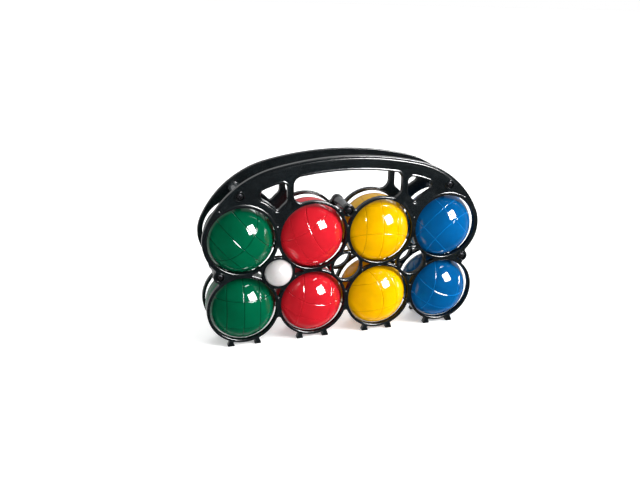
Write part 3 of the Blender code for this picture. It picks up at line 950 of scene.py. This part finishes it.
def place_ball(mesh, name, node, turn, material):
    mesh.transform(Matrix.Translation(centre(node)) @ turn)
    mesh.materials.append(material)
    obj = bpy.data.objects.new(name, mesh)
    link(obj)
    fit(obj, node)


def make_balls():
    pattern = grooved_ball("grooved", BALL_RADIUS, BALL_GROOVES, BALL_GROOVE_HALF,
                           BALL_GROOVE_DEPTH, 6)
    rolls = random.Random(ROLL_SEED)
    for colour, tint in BALL_COLOURS.items():
        material = ball_plastic("ball_" + colour, tint, GROOVE_PAINTED_LIGHT[colour])
        for row in ("upper", "lower"):
            key = colour + "_" + row
            place_ball(pattern.copy(), "grooved_ball_" + key, "ball_" + key,
                       rolled(rolls), material)


def make_jack():
    """Jack with the fine seam that its two moulded halves leave."""
    mesh = grooved_ball("jack", JACK_RADIUS, ((2, 0.0),), JACK_SEAM_HALF, JACK_SEAM_DEPTH, 5)
    place_ball(mesh, "seamed_jack", "jack_ball", rolled(random.Random(ROLL_SEED)),
               jack_plastic())


# ---------------------------------------------------------------- stage

def make_floor():
    """Pale floor that runs out to the horizon and is kept out of reflections."""
    mesh = bpy.data.meshes.new("floor")
    corners = [(x * FLOOR_REACH, y * FLOOR_REACH, 0.0)
               for x, y in ((-1, -1), (1, -1), (1, 1), (-1, 1))]
    mesh.from_pydata(corners, [], [(0, 1, 2, 3)])
    mesh.materials.append(stage_material("floor", (0.93, 0.93, 0.93), 0.9))
    floor = bpy.data.objects.new("floor", mesh)
    floor.visible_glossy = False
    link(floor)


def area_light(name, direction, distance, radiance, diffuse, glossy):
    """Square soft light aimed at the set, with its strength given as radiance."""
    data = bpy.data.lights.new(name, "AREA")
    data.shape = "SQUARE"
    size = KEY_WIDTH * distance
    data.size = size
    data.energy = radiance * math.pi * size ** 2
    light = bpy.data.objects.new(name, data)
    ray = Vector(direction).normalized()
    light.location = Vector(LIGHT_TARGET) + ray * distance
    light.rotation_euler = ray.to_track_quat("Z", "Y").to_euler()
    light.visible_diffuse = diffuse
    light.visible_glossy = glossy
    light.visible_camera = False
    link(light)


def make_world():
    """Dome that lights the set; glossy pieces mirror only its back, and the camera sees white."""
    world = bpy.data.worlds.new("studio")
    world.use_nodes = True
    tree = world.node_tree
    background = tree.nodes["Background"]
    background.inputs["Color"].default_value = (1.0, 1.0, 1.0, 1.0)
    place = tree.nodes.new("ShaderNodeTexCoord")
    split = tree.nodes.new("ShaderNodeSeparateXYZ")
    tree.links.new(place.outputs["Generated"], split.inputs[0])
    path = tree.nodes.new("ShaderNodeLightPath")
    choose = tree.nodes.new("ShaderNodeMix")
    tree.links.new(path.outputs["Is Glossy Ray"], choose.inputs[0])
    ramps = (("Z", 0.1, 0.9, DOME_LOW, DOME_HIGH), ("Y", 0.0, 0.4, SHINE_FRONT, SHINE_BACK))
    for slot, (axis, start, end, low, high) in enumerate(ramps, start=2):
        ramp = tree.nodes.new("ShaderNodeMapRange")
        tree.links.new(split.outputs[axis], ramp.inputs["Value"])
        for key, value in (("From Min", start), ("From Max", end), ("To Min", low),
                           ("To Max", high)):
            ramp.inputs[key].default_value = value
        tree.links.new(ramp.outputs["Result"], choose.inputs[slot])
    seen = tree.nodes.new("ShaderNodeMix")
    seen.inputs[3].default_value = 1.0
    tree.links.new(path.outputs["Is Camera Ray"], seen.inputs[0])
    tree.links.new(choose.outputs[0], seen.inputs[2])
    tree.links.new(seen.outputs[0], background.inputs["Strength"])
    world.cycles.sampling_method = "NONE"
    bpy.context.scene.world = world


def make_camera():
    data = bpy.data.cameras.new("camera")
    data.lens = LENS
    data.sensor_width = SENSOR_WIDTH
    data.shift_x, data.shift_y = SHIFT
    camera = bpy.data.objects.new("camera", data)
    camera.location = CAMERA_PLACE
    camera.rotation_euler = (Matrix.Rotation(math.radians(-YAW), 4, "Z")
                             @ Matrix.Rotation(math.radians(90.0 - TILT_DOWN), 4, "X")
                             @ Matrix.Rotation(math.radians(CAMERA_ROLL), 4, "Z")).to_euler()
    link(camera)
    bpy.context.scene.camera = camera


def build():
    black = frame_plastic()
    make_frame("front_frame", -1, black)
    make_frame("back_frame", 1, black)
    make_screws(screw_steel())
    make_balls()
    make_jack()
    make_floor()
    make_world()
    area_light("key", KEY_SIDE, KEY_DISTANCE, KEY, True, False)
    area_light("key_shine", KEY_RAY, SHINE_DISTANCE, KEY_SHINE, False, True)
    area_light("fill", FILL_RAY, KEY_DISTANCE, FILL, True, False)
    area_light("back_fill", BACK_RAY, KEY_DISTANCE, BACK_FILL, True, False)
    make_camera()
    bpy.context.scene.view_settings.view_transform = "Standard"


build()
